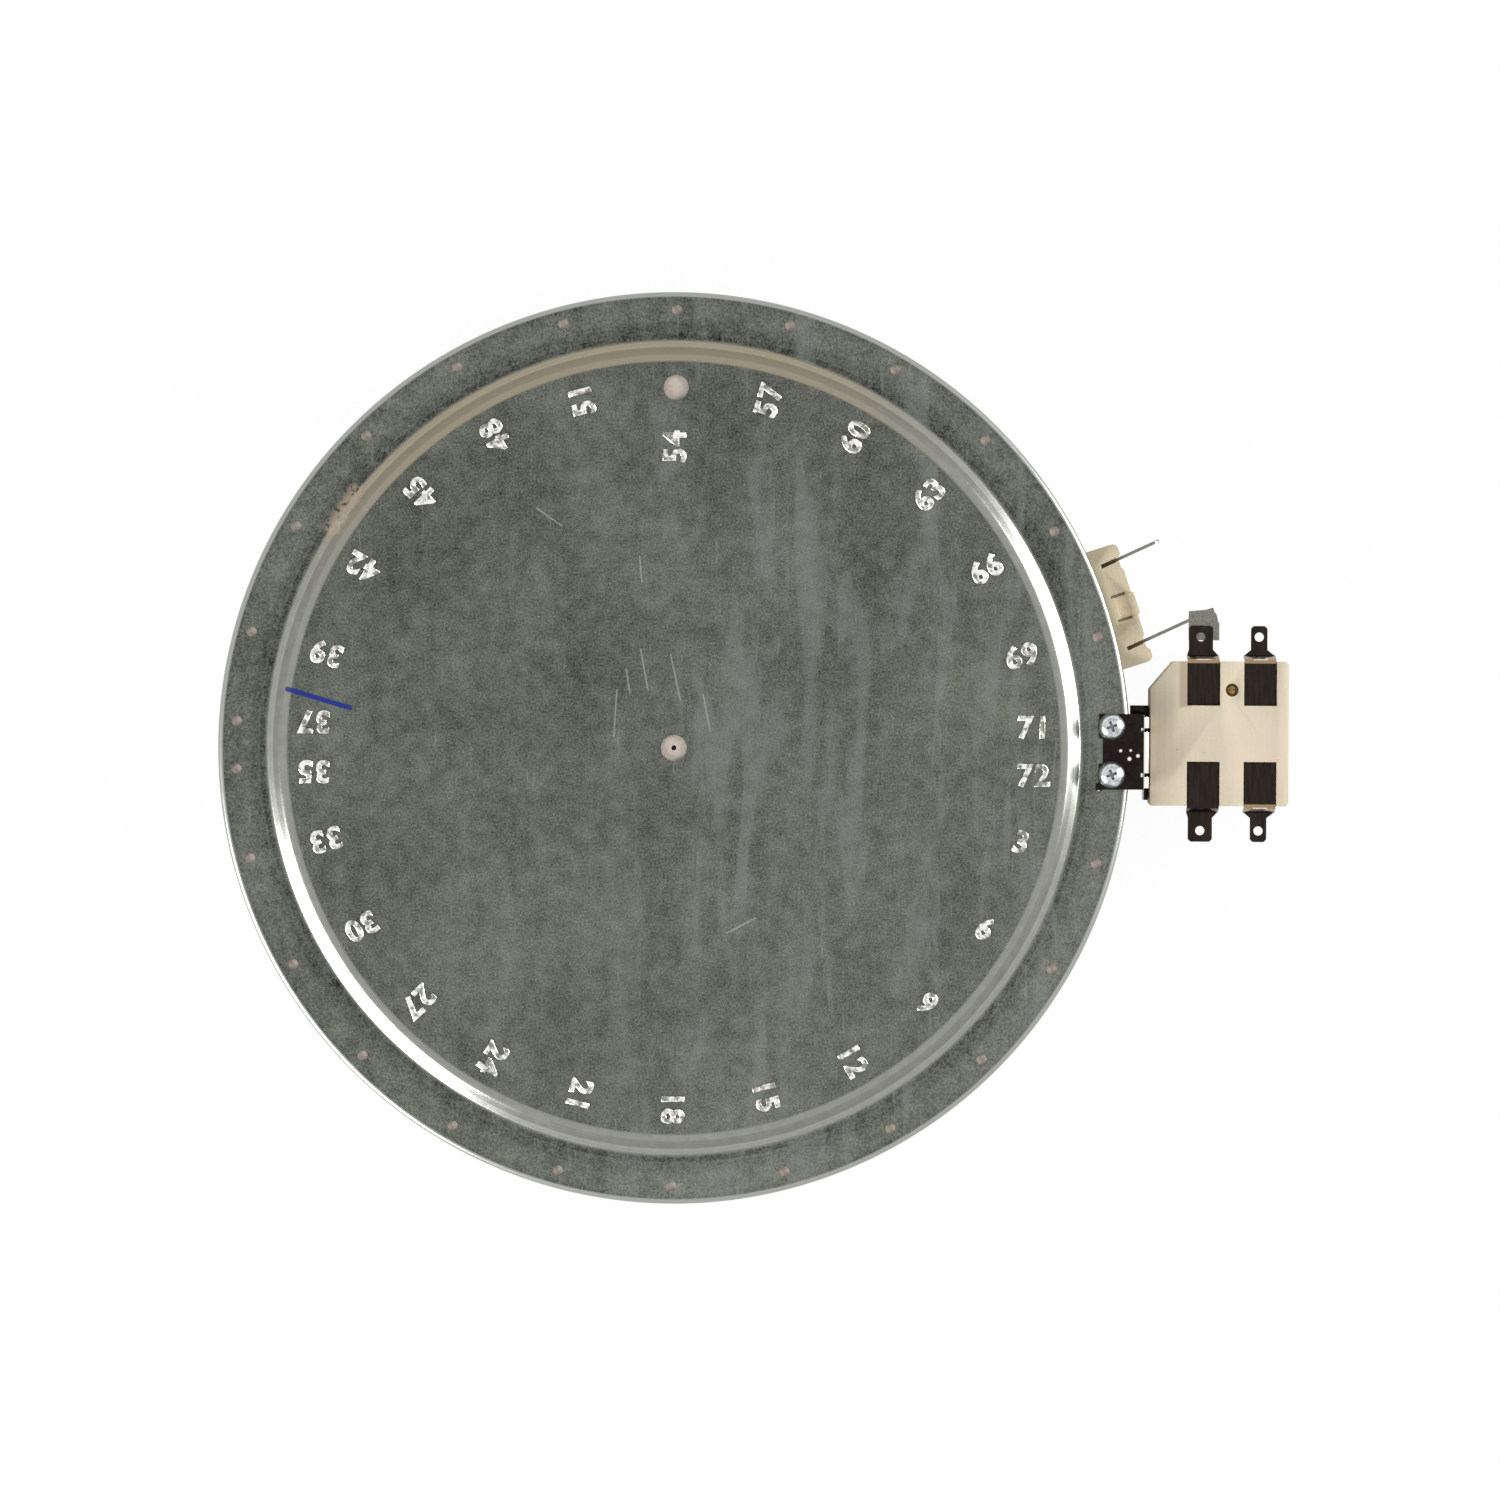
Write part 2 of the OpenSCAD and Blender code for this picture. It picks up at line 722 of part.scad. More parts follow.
// One terminal: plate in its pocket, riser down the body's side, tab and inner leg
module terminal(i, side, tab_w, leg_shift) {
    plate_x0 = column_x[i] - plate_w / 2;
    foot_y = body_w / 2 + 0.1;
    tab_y0 = foot_y + riser_run;
    tab_x = column_x[i] + (tab_w == blade_w ? -0.5 : -0.1);
    half = tab_w / 2;
    tip = 0.7;
    translate([0, body_y, 0])
        flip_y(side)
            difference() {
                union() {
                    translate([plate_x0, plate_from, plate_z])
                        cube([plate_w, foot_y - plate_from + 0.4, blade_t]);
                    // riser, sloping outwards as it goes down to the tab
                    translate([plate_x0, 0, 0])
                        rotate([90, 0, 90])
                            linear_extrude(plate_w)
                                polygon([
                                    [foot_y, plate_z], [foot_y, plate_z + blade_t],
                                    [foot_y + 0.5, plate_z + blade_t],
                                    [tab_y0, tab_z + blade_t], [tab_y0, tab_z],
                                    [tab_y0 - 0.7, tab_z]
                                ]);
                    translate([0, 0, tab_z])
                        linear_extrude(blade_t)
                            polygon([
                                [plate_x0, tab_y0 - 0.2], [plate_x0 + plate_w, tab_y0 - 0.2],
                                [tab_x + half, tab_y0 + flare_len], [tab_x + half, tab_end - tip],
                                [tab_x + half - tip, tab_end], [tab_x - half + tip, tab_end],
                                [tab_x - half, tab_end - tip], [tab_x - half, tab_y0 + flare_len]
                            ]);
                    terminal_leg(plate_x0, leg_shift);
                }
                translate([tab_x, tab_hole_at, tab_z - 1])
                    cylinder(r = tab_hole_r, h = blade_t + 2, $fn = 48);
            }
}

// Leg folded down from the plate's edge into the chamber, set over by shift where it ends
module terminal_leg(x0, shift) {
    y0 = plate_from + 0.5;
    knee = cavity_z1 - 1;
    translate([0, y0 + leg_w, 0])
        rotate([90, 0, 0])
            linear_extrude(leg_w)
                polygon([
                    [x0, plate_z + blade_t / 2], [x0, knee], [x0 + shift, knee - blade_t],
                    [x0 + shift, leg_z], [x0 + shift + blade_t, leg_z],
                    [x0 + shift + blade_t, knee], [x0 + blade_t, knee + blade_t],
                    [x0 + blade_t, plate_z + blade_t / 2]
                ]);
}

module terminal_power_link() {
    color([0.14, 0.13, 0.12])
        terminal(0, 1, blade_w, 0);
}

module terminal_power_feed() {
    color([0.14, 0.13, 0.12])
        terminal(0, -1, blade_w, 2 * contact_t);
}

module terminal_signal_upper() {
    color([0.14, 0.13, 0.12])
        terminal(1, 1, signal_tab_w, 0);
}

module terminal_signal_lower() {
    color([0.14, 0.13, 0.12])
        terminal(1, -1, signal_tab_w, 2 * contact_t);
}

// Ceramic cover on the glass side of the limiter
module limiter_cover() {
    color([0.84, 0.79, 0.7])
        difference() {
            translate([0, 0, body_z0])
                linear_extrude(cover_t)
                    body_outline(0.3);
            for (p = cover_screw_xy)
                translate([p.x, p.y, body_z0 - 1]) {
                    cylinder(r = cover_screw_r + 0.1, h = cover_t + 2);
                    cylinder(r = 2.3, h = 2);
                }
            along_probe(body_x0 - 1, body_x0 + 1.2, neck_r + 0.1);
            along_probe(cavity_x[0] - 0.1, tube_x[1] + 0.2, probe_collar_r + 0.1);
        }
}

// The two screws that hold the cover, heads sunk into it
module cover_screws() {
    color([0.7, 0.68, 0.6])
        for (p = cover_screw_xy)
            translate([p.x, p.y, body_z0])
                difference() {
                    union() {
                        cylinder(r = 2.2, h = 1);
                        cylinder(r = cover_screw_r, h = 7.5);
                    }
                    translate([-3, -0.3, -1])
                        cube([6, 0.6, 1.6]);
                }
}

// Threaded bush in the body's face
module adjusting_bush() {
    color([0.55, 0.47, 0.3])
        translate([adjuster.x, adjuster.y, cavity_z1])
            difference() {
                cylinder(r = bush_r, h = body_z1 - cavity_z1 - 0.8);
                translate([0, 0, -1])
                    cylinder(r = 1.1, h = 10);
            }
}

// Slotted setting screw in the bush
module adjusting_screw() {
    color([0.62, 0.52, 0.3])
        translate([adjuster.x, adjuster.y, cavity_z1 - 2])
            difference() {
                cylinder(r = 1.1, h = body_z1 - cavity_z1 + 0.8);
                translate([-2, -0.25, body_z1 - cavity_z1 + 0.1])
                    cube([4, 0.5, 2]);
            }
}

// Round bar or tube along the probe's axis, from x0 to x1
module along_probe(x0, x1, r, r_in = 0) {
    translate([x0, 0, probe_z])
        rotate([0, 90, 0])
            difference() {
                cylinder(r = r, h = x1 - x0);
                if (r_in > 0)
                    translate([0, 0, -1])
                        cylinder(r = r_in, h = x1 - x0 + 2);
            }
}

// Quartz tube across the heated space
module probe_tube() {
    color([0.86, 0.88, 0.86])
        along_probe(tube_x[0], tube_x[1], tube_r, tube_in_r);
}

// Steel collar that seats the tube's end in the chamber
module probe_collar() {
    color([0.6, 0.6, 0.58])
        along_probe(cavity_x[0], tube_x[1], probe_collar_r, tube_r);
}

// Metal rod whose growth with heat works the switches
module probe_rod() {
    color([0.55, 0.53, 0.5])
        along_probe(tube_x[0] - cap_len, rod_x1, rod_r);
}

// Cap welded on the rod's far end, bearing on the tube
module probe_end_cap() {
    color([0.5, 0.48, 0.45])
        along_probe(tube_x[0] - cap_len, tube_x[0], tube_r - 0.15, rod_r);
}

// Ceramic pin from the rod to the power switch's spring
module push_pin_power() {
    color([0.9, 0.88, 0.83])
        along_probe(rod_x1, spring_x[0], push_pin_r);
}

// Ceramic pin from the power switch's spring to the signal switch's spring
module push_pin_signal() {
    color([0.9, 0.88, 0.83])
        along_probe(spring_x[0] + spring_t, spring_x[1], push_pin_r);
}

// Snap spring on edge between two legs: a frame round a tongue that the pin bears on
module snap_spring(i) {
    y0 = body_y - plate_from - leg_w;
    y1 = body_y + plate_from + leg_w;
    z0 = leg_z + 0.3;
    w = 6;
    slit = 0.5;
    difference() {
        translate([spring_x[i], y0, z0 - 1.3])
            cube([spring_t, y1 - y0, w]);
        for (z = [z0 - 1.3 + w * 0.25, z0 - 1.3 + w * 0.75])
            translate([spring_x[i] - 1, y0 + 5.5, z - slit / 2])
                cube([3, y1 - y0 - 11, slit]);
    }
}

module snap_spring_power() {
    color([0.7, 0.62, 0.45])
        snap_spring(0);
}

module snap_spring_signal() {
    color([0.7, 0.62, 0.45])
        snap_spring(1);
}

// One silver contact for each switch, set_over from the face of the upper leg
module contacts(set_over) {
    color([0.85, 0.85, 0.83])
        for (x = leg_face_x)
            translate([x + set_over, body_y + plate_from + leg_w / 2, leg_z + 2.2])
                rotate([0, 90, 0])
                    cylinder(r = contact_r, h = contact_t, $fn = 48);
}

// Contacts on the upper legs
module fixed_contacts() {
    contacts(0);
}

// Contacts on the springs, resting on the fixed ones
module moving_contacts() {
    contacts(contact_t);
}

pan();
insulation_base();
insulation_ring();
heating_ribbon();
ribbon_lead_feed();
ribbon_lead_link();
terminal_block();
blade_feed();
blade_link();
mounting_bracket();
bracket_screws();
limiter_base();
limiter_cover();
cover_screws();
terminal_power_link();
terminal_power_feed();
terminal_signal_upper();
terminal_signal_lower();
adjusting_bush();
adjusting_screw();
probe_tube();
probe_collar();
probe_rod();
probe_end_cap();
push_pin_power();
push_pin_signal();
snap_spring_power();
snap_spring_signal();
fixed_contacts();
moving_contacts();
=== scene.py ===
"""Dresses a packed radiant heating element: its pieces, their finishes, the stage and the camera."""
import math

import bpy
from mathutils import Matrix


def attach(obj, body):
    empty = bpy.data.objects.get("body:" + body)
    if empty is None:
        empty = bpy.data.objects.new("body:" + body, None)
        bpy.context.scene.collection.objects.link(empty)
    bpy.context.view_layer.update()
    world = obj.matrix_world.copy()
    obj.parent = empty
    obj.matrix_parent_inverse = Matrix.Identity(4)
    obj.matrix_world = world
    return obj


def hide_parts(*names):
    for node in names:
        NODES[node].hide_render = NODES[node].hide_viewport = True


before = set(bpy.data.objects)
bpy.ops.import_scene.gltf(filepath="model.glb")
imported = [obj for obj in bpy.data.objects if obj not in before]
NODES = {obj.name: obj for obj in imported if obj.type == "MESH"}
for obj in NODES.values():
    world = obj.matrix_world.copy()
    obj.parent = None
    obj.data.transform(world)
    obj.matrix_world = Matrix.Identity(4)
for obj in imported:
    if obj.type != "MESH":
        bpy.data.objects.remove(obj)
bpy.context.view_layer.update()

bl_info = {
    "name": "Radiant heating element",
    "version": (1, 0, 0),
    "blender": (4, 5, 0),
    "location": "View3D > Sidebar > Element",
    "description": "Models and finishes the pieces of a cooktop's radiant heating element",
    "category": "Object",
}

MM = 0.001
FULL_TURN = 360


def mm(*values):
    """Lengths in metres from millimetres."""
    return tuple(value * MM for value in values)


def shade(red, green, blue):
    """A colour for a shader from its values on a display, 0 to 255."""
    parts = (value / 255 for value in (red, green, blue))
    return tuple(p / 12.92 if p <= 0.04045 else ((p + 0.055) / 1.055) ** 2.4 for p in parts)


def polar(radius, degrees):
    """The point at a distance and direction from the pan's axis."""
    angle = math.radians(degrees)
    return radius * math.cos(angle), radius * math.sin(angle)


class ElementSizes(bpy.types.PropertyGroup):
    """Sizes in millimetres that a user may change."""

    sides: bpy.props.IntProperty(
        name="Sides", description="Sides of the pan's turned shell", default=288, min=96, max=480)
    sheet: bpy.props.FloatProperty(
        name="Sheet", description="Thickness of the pan's sheet", default=0.6, min=0.4, max=0.8)
    disc_height: bpy.props.FloatProperty(
        name="Disc height", description="Height of the pan's middle disc", default=27.5)
    shoulder_height: bpy.props.FloatProperty(
        name="Shoulder height", description="Height of the pan's outer ledge", default=24)
    pilot_circle: bpy.props.FloatProperty(
        name="Pilot circle", description="Radius of the circle of pilot holes", default=113.9)
    pair_gap: bpy.props.FloatProperty(
        name="Pair gap", description="Distance between the two holes of a pair", default=12.5)
    digit_size: bpy.props.FloatProperty(
        name="Digit size", description="Type size of the stamped numbers", default=7.9)
    digit_circle: bpy.props.FloatProperty(
        name="Digit circle", description="Radius of the circle of stamped numbers", default=93.4)


class ElementColours(bpy.types.PropertyGroup):
    """Colours of the main finishes."""

    sheet: bpy.props.FloatVectorProperty(
        name="Sheet", description="Dull coated sheet", subtype="COLOR", default=shade(99, 102, 94))
    body: bpy.props.FloatVectorProperty(
        name="Body", description="Ceramic of the limiter", subtype="COLOR",
        default=shade(209, 197, 174))
    block: bpy.props.FloatVectorProperty(
        name="Block", description="Ceramic of the terminal block", subtype="COLOR",
        default=shade(197, 184, 157))
    plate: bpy.props.FloatVectorProperty(
        name="Plate", description="Dark plated steel", subtype="COLOR", default=shade(40, 36, 31))


def sizes():
    return bpy.context.scene.element_sizes


def colours():
    return bpy.context.scene.element_colours


# Modelling


def only(*pieces):
    """Selects these pieces and nothing else, the last one active."""
    bpy.ops.object.select_all(action="DESELECT")
    for piece in pieces:
        piece.select_set(True)
    bpy.context.view_layer.objects.active = pieces[-1]


def settle(piece, name):
    """Puts a piece's place into its mesh, and names it."""
    only(piece)
    bpy.ops.object.transform_apply(location=True, rotation=True, scale=True)
    piece.name = name
    piece.data.name = name
    return piece


def apply(piece, kind, **settings):
    """Adds a modifier and applies it."""
    only(piece)
    modifier = piece.modifiers.new(kind, kind)
    for key, value in settings.items():
        setattr(modifier, key, value)
    bpy.ops.object.modifier_apply(modifier=modifier.name)
    return piece


def smooth(piece, degrees=35):
    only(piece)
    bpy.ops.object.shade_smooth_by_angle(angle=math.radians(degrees))
    return piece


def joined(name, pieces):
    only(*pieces)
    if len(pieces) > 1:
        bpy.ops.object.join()
    return settle(bpy.context.object, name)


def turned(name, outline, sides, closed=False):
    """A ring that is extruded and scaled along an outline of radii and heights."""
    radius, height = outline[0]
    bpy.ops.object.select_all(action="DESELECT")
    bpy.ops.mesh.primitive_circle_add(
        vertices=sides, radius=radius * MM, location=mm(0, 0, height), fill_type="NOTHING")
    piece = bpy.context.object
    bpy.ops.object.mode_set(mode="EDIT")
    bpy.ops.mesh.select_mode(type="EDGE")
    bpy.ops.mesh.select_all(action="SELECT")
    if closed:
        bpy.ops.mesh.edge_face_add()
    for next_radius, next_height in outline[1:]:
        bpy.ops.mesh.extrude_region_move(
            TRANSFORM_OT_translate={"value": mm(0, 0, next_height - height)})
        scale = next_radius / radius
        bpy.ops.transform.resize(value=(scale, scale, 1), center_override=mm(0, 0, next_height))
        radius, height = next_radius, next_height
    bpy.ops.mesh.select_all(action="SELECT")
    bpy.ops.mesh.normals_make_consistent(inside=False)
    bpy.ops.object.mode_set(mode="OBJECT")
    return settle(piece, name)


def rod(name, radius, low, high, place, sides=32):
    """A round bar along Z, used to cut holes."""
    bpy.ops.object.select_all(action="DESELECT")
    bpy.ops.mesh.primitive_cylinder_add(
        vertices=sides, radius=radius * MM, depth=(high - low) * MM,
        location=mm(place[0], place[1], (low + high) / 2))
    return settle(bpy.context.object, name)


def bar(name, low, high, turn=0.0):
    """A box between two corners, turned about the pan's axis, used to cut openings."""
    centre = [(a + b) / 2 for a, b in zip(low, high)]
    bpy.ops.object.select_all(action="DESELECT")
    bpy.ops.mesh.primitive_cube_add(size=1, location=mm(*centre))
    box = bpy.context.object
    box.scale = mm(*(b - a for a, b in zip(low, high)))
    settle(box, name)
    box.rotation_euler.z = math.radians(turn)
    return settle(box, name)


def cut(piece, cutters):
    """Takes the volume of the cutters out of a piece."""
    cutter = joined("cutter", cutters)
    apply(piece, "BOOLEAN", operation="DIFFERENCE", solver="EXACT", object=cutter)
    bpy.data.objects.remove(cutter)
    return piece


def softened(node, width, segments=2, degrees=35):
    """A merged copy of a CAD node with rounded edges, which stands for it."""
    piece = bpy.data.objects.new(node + "_rounded", NODES[node].data.copy())
    bpy.context.scene.collection.objects.link(piece)
    only(piece)
    bpy.ops.mesh.customdata_custom_splitnormals_clear()
    bpy.ops.object.mode_set(mode="EDIT")
    bpy.ops.mesh.select_all(action="SELECT")
    bpy.ops.mesh.remove_doubles(threshold=1e-6)
    bpy.ops.mesh.dissolve_limited(angle_limit=math.radians(0.5))
    bpy.ops.object.mode_set(mode="OBJECT")
    apply(piece, "BEVEL", width=width * MM, segments=segments, limit_method="ANGLE",
          angle_limit=math.radians(degrees), use_clamp_overlap=True)
    smooth(piece, degrees)
    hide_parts(node)
    return piece


def dress(piece, finish, slot=None):
    """Gives a piece its finish, and makes a new piece ride on the part."""
    piece.data.materials.clear()
    piece.data.materials.append(finish)
    if slot:
        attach(piece, "root")
    return piece


# Finishes


class Wire:
    """A socket of a finish that takes part in sums like a number."""

    def __init__(self, finish, socket):
        self.finish = finish
        self.socket = socket

    def sum(self, operation, *values):
        return self.finish.node("ShaderNodeMath", {"operation": operation}, values)

    def __add__(self, other):
        return self.sum("ADD", self, other)

    def __radd__(self, other):
        return self.sum("ADD", other, self)

    def __sub__(self, other):
        return self.sum("SUBTRACT", self, other)

    def __rsub__(self, other):
        return self.sum("SUBTRACT", other, self)

    def __mul__(self, other):
        return self.sum("MULTIPLY", self, other)

    def __rmul__(self, other):
        return self.sum("MULTIPLY", other, self)

    def __truediv__(self, other):
        return self.sum("DIVIDE", self, other)

    def __pow__(self, other):
        return self.sum("POWER", self, other)

    def __abs__(self):
        return self.sum("ABSOLUTE", self)

    def least(self, other):
        return self.sum("MINIMUM", self, other)

    def most(self, other):
        return self.sum("MAXIMUM", self, other)

    def held(self):
        """The value, held between 0 and 1."""
        return self.finish.node("ShaderNodeClamp", {}, (self, 0.0, 1.0))


class Finish:
    """A procedural material on a piece's own coordinates, in millimetres."""

    def __init__(self, name, **sockets):
        self.material = bpy.data.materials.new(name)
        self.material.use_nodes = True
        self.tree = self.material.node_tree
        self.shader = self.tree.nodes["Principled BSDF"]
        for key, value in sockets.items():
            self.fixed(key.replace("_", " ").title().replace("Ior", "IOR"), value)
        place = self.node("ShaderNodeTexCoord", {}, (), "Object")
        self.place = self.node(
            "ShaderNodeVectorMath", {"operation": "SCALE"}, {"Vector": place, "Scale": 1 / MM})
        self.x, self.y, self.z = (
            self.node("ShaderNodeSeparateXYZ", {}, (self.place,), axis) for axis in "XYZ")

    def fixed(self, socket, value):
        self.shader.inputs[socket].default_value = value

    def node(self, kind, settings=None, inputs=(), output=0):
        """Adds a node with its settings and the values or wires of its sockets."""
        made = self.tree.nodes.new(kind)
        for key, value in (settings or {}).items():
            if key == "stops":
                self.set_stops(made.color_ramp, value)
            else:
                setattr(made, key, value)
        for key, value in inputs.items() if isinstance(inputs, dict) else enumerate(inputs):
            if isinstance(value, Wire):
                self.tree.links.new(value.socket, made.inputs[key])
            else:
                made.inputs[key].default_value = value
        return Wire(self, made.outputs[output])

    @staticmethod
    def set_stops(ramp, stops):
        while len(ramp.elements) < len(stops):
            ramp.elements.new(1.0)
        for element, (position, colour) in zip(ramp.elements, stops):
            element.position = position
            element.color = (*colour, 1)

    def feed(self, socket, wire):
        self.tree.links.new(wire.socket, self.shader.inputs[socket])

    def stretched(self, x=1.0, y=1.0, z=1.0):
        """The place, stretched along the axes."""
        return self.node("ShaderNodeVectorMath", {"operation": "MULTIPLY"},
                         (self.place, (1 / x, 1 / y, 1 / z)))

    def noise(self, size, detail=2.0, stretch=(1, 1, 1), distortion=0.0):
        """Soft noise whose blotches are about size across."""
        return self.node(
            "ShaderNodeTexNoise", {"noise_dimensions": "3D"},
            {"Vector": self.stretched(*stretch), "Scale": 1 / size, "Detail": detail,
             "Roughness": 0.55, "Distortion": distortion}, "Fac")

    def cells(self, size, stretch=(1, 1, 1)):
        """A random grey for each crystal about size across."""
        colour = self.node(
            "ShaderNodeTexVoronoi", {"feature": "F1"},
            {"Vector": self.stretched(*stretch), "Scale": 1 / size}, "Color")
        return self.node("ShaderNodeSeparateColor", {}, (colour,))

    def rise(self, value, low, high):
        """0 below low, 1 above high, and smooth between."""
        return self.node("ShaderNodeMapRange", {"interpolation_type": "SMOOTHSTEP"},
                         (value, low, high, 0.0, 1.0))

    def band(self, value, low, high, soft):
        """1 between low and high, and 0 outside."""
        return self.rise(value, low - soft, low) * (1 - self.rise(value, high, high + soft))

    def blend(self, factor, first, second):
        """A colour between two colours."""
        first, second = (c if isinstance(c, Wire) else (*c, 1) for c in (first, second))
        return self.node("ShaderNodeMix", {"data_type": "RGBA"},
                         {0: factor, 6: first, 7: second}, 2)

    def scaled(self, colour, factor):
        """A colour made lighter or darker."""
        return self.node("ShaderNodeVectorMath", {"operation": "SCALE"},
                         {"Vector": colour, "Scale": factor})

    def distance(self, x, y):
        """Distance from a point, seen from above."""
        across = self.x - x
        up = self.y - y
        return (across * across + up * up) ** 0.5

    def spot(self, x, y, radius, soft):
        return 1 - self.rise(self.distance(x, y), radius, radius + soft)

    def stroke(self, start, end, half, soft):
        """1 along a straight line seen from above."""
        run = (end[0] - start[0], end[1] - start[1])
        squared = run[0] ** 2 + run[1] ** 2
        share = (((self.x - start[0]) * run[0] + (self.y - start[1]) * run[1]) / squared).held()
        across = self.x - (share * run[0] + start[0])
        up = self.y - (share * run[1] + start[1])
        return 1 - self.rise((across * across + up * up) ** 0.5, half, half + soft)

    def bump(self, height, depth, strength=1.0):
        """Relief from a height between 0 and 1, depth in millimetres."""
        self.feed("Normal", self.node(
            "ShaderNodeBump", {}, {"Height": height, "Distance": depth * MM, "Strength": strength},
            "Normal"))


def coated_sheet():
    """Dull coated sheet, burnished where it was drawn, with stains and strokes of wear, painted
    highlights on the step's bends, painted shade at its foot and painted sheen on the rim.
    """
    finish = Finish("coated_sheet", metallic=1.0)
    x, y = finish.x, finish.y
    radius = finish.distance(0, 0)
    fine = finish.noise(0.55, 3)
    patch = finish.noise(4, 3)
    cloud = finish.noise(34, 2)
    smear = finish.noise(10, 3, stretch=(1, 6, 1), distortion=0.8)
    light = (1 + (fine - 0.5) * 2.3 + (patch - 0.5) * 1.0 + (cloud - 0.5) * 0.8
             + (smear - 0.5) * 0.6 + (0 - y) * 0.0009 + x * 0.0005)
    ledge = finish.band(radius, 111.8, 115.2, 3) * 0.26
    # Painted shade: a thin darker band just outside the step's foot, in the crease.
    light = light - finish.band(radius, 106.7, 107.5, 0.5) * cloud * 0.6 + ledge - (
        finish.rise(radius, 107.6, 108.6) * 0.12)
    colour = finish.scaled(tuple(colours().sheet), light)
    wiped = finish.rise(smear, 0.5, 0.62) * finish.rise(x, -25, 5)
    colour = finish.blend(wiped * 0.3, colour, shade(128, 134, 133))
    scuffs = finish.rise(finish.noise(0.7, 2, stretch=(1, 16, 1), distortion=0.4), 0.66, 0.75)
    colour = finish.blend(scuffs * 0.3, colour, shade(150, 153, 146))
    for start, end in SCRATCHES:
        colour = finish.blend(finish.stroke(start, end, 0.05, 0.25) * 0.5, colour,
                              shade(176, 178, 172))
    step = finish.band(radius, 100.6, 105.8, 0.5)
    mottle = finish.noise(3, 3)
    # Painted highlights: two lighter rings along the step's upper and lower bends.
    painted_bend_highlights = (finish.band(radius, 100.9, 101.9, 0.5) * 0.2
             + finish.band(radius, 104.4, 105.4, 0.4) * 0.45)
    drawn = finish.scaled(shade(140, 141, 135), 0.72 + mottle * 0.4 + painted_bend_highlights)
    # Tan on the upper side of the step.
    tan_upper_side = finish.rise(y, 30, 80) * (1 - finish.rise(x, 30, 80)) * 0.8
    drawn = finish.blend(tan_upper_side, drawn, finish.scaled(shade(150, 141, 120), 0.85 + painted_bend_highlights))
    colour = finish.blend(step, colour, drawn)
    # Painted sheen: the rim's bend and wall are lighter than the sheet.
    brim = finish.rise(radius, 117.1, 117.6)
    colour = finish.blend(brim, colour, shade(164, 165, 160))
    smudge = finish.stroke((-89.0, 56.5), (-83.0, 66.0), 0.8, 2.2)
    tan = smudge * finish.rise(finish.noise(1.6, 3), 0.4, 0.52)
    colour = finish.blend(tan * 0.85, colour, shade(172, 156, 134))
    ink = finish.stroke((-100.4, 14.6), (-84.2, 9.9), 0.45, 0.4)
    colour = finish.blend(ink * (0.75 + patch * 0.3).held(), colour, shade(34, 50, 132))
    finish.feed("Base Color", colour)
    finish.feed("Metallic", (1 - tan * 0.9).held())
    finish.feed("Roughness", (0.4 + (patch - 0.5) * 0.12) - step * 0.16 - brim * 0.12 + tan * 0.4)
    finish.bump(fine * 0.6 + patch * 0.4, 0.012)
    return finish.material


SCRATCHES = (
    ((-14.9, 15.0), (-15.6, 3.0)),
    ((-8.8, 25.5), (-6.8, 15.0)),
    ((-1.0, 24.2), (1.6, 12.5)),
    ((7.5, 13.8), (9.4, 4.6)),
    ((-12.5, 20.4), (-11.5, 14.0)),
    ((-9.2, 49.5), (-8.6, 43.0)),
    ((-36.0, 62.0), (-29.5, 57.5)),
    ((14.0, -48.0), (21.5, -44.0)),
)


def stamped_digits():
    """The same sheet, with painted highlights on the crests of the strokes and painted shade at their
    feet.
    """
    finish = Finish("stamped_digits", metallic=1.0, roughness=0.26)
    mottle = finish.noise(1.3, 3)
    # Painted highlights on the crests, patchy with the mottle; painted shade at the feet of the
    # strokes.
    crest = finish.rise(finish.z, 27.6, 27.82)
    lit = finish.blend(finish.rise(mottle, 0.38, 0.6), shade(138, 137, 128), shade(246, 244, 238))
    finish.feed("Base Color", finish.blend(crest, shade(70, 72, 66), lit))
    finish.bump(mottle, 0.03)
    return finish.material


def pressed_fibre(name, light, dark, grain):
    """Pressed mineral insulation: soft, matt and slightly pitted."""
    finish = Finish(name, roughness=0.95, specular_ior_level=0.15)
    fine = finish.noise(grain, 4)
    flecks = finish.cells(grain * 0.8)
    tone = (fine * 0.8 + finish.noise(14, 2) * 0.4 - 0.1 + (flecks - 0.5) * 0.15).held()
    colour = finish.blend(tone, dark, light)
    pits = finish.rise(finish.noise(grain * 2.2, 3), 0.66, 0.74)
    finish.feed("Base Color", finish.blend(pits * 0.35, colour, dark))
    finish.bump(fine * 0.6 + flecks * 0.2 + (1 - pits) * 0.2, 0.16)
    return finish.material


def fired_ceramic(name, base, streak):
    """Unglazed technical ceramic with faint streaks and specks."""
    finish = Finish(name, roughness=0.62, specular_ior_level=0.25)
    streaks = finish.noise(0.7, 2, stretch=(1, 22, 22))
    fine = finish.noise(0.5, 3)
    cloud = finish.noise(9, 2)
    light = 1 + (streaks - 0.5) * streak + (fine - 0.5) * 0.12 + (cloud - 0.5) * 0.1
    colour = finish.scaled(base, light)
    specks = finish.rise(finish.noise(0.9, 2), 0.7, 0.76)
    colour = finish.blend(specks * 0.35, colour, shade(140, 122, 98))
    return finish, colour, fine


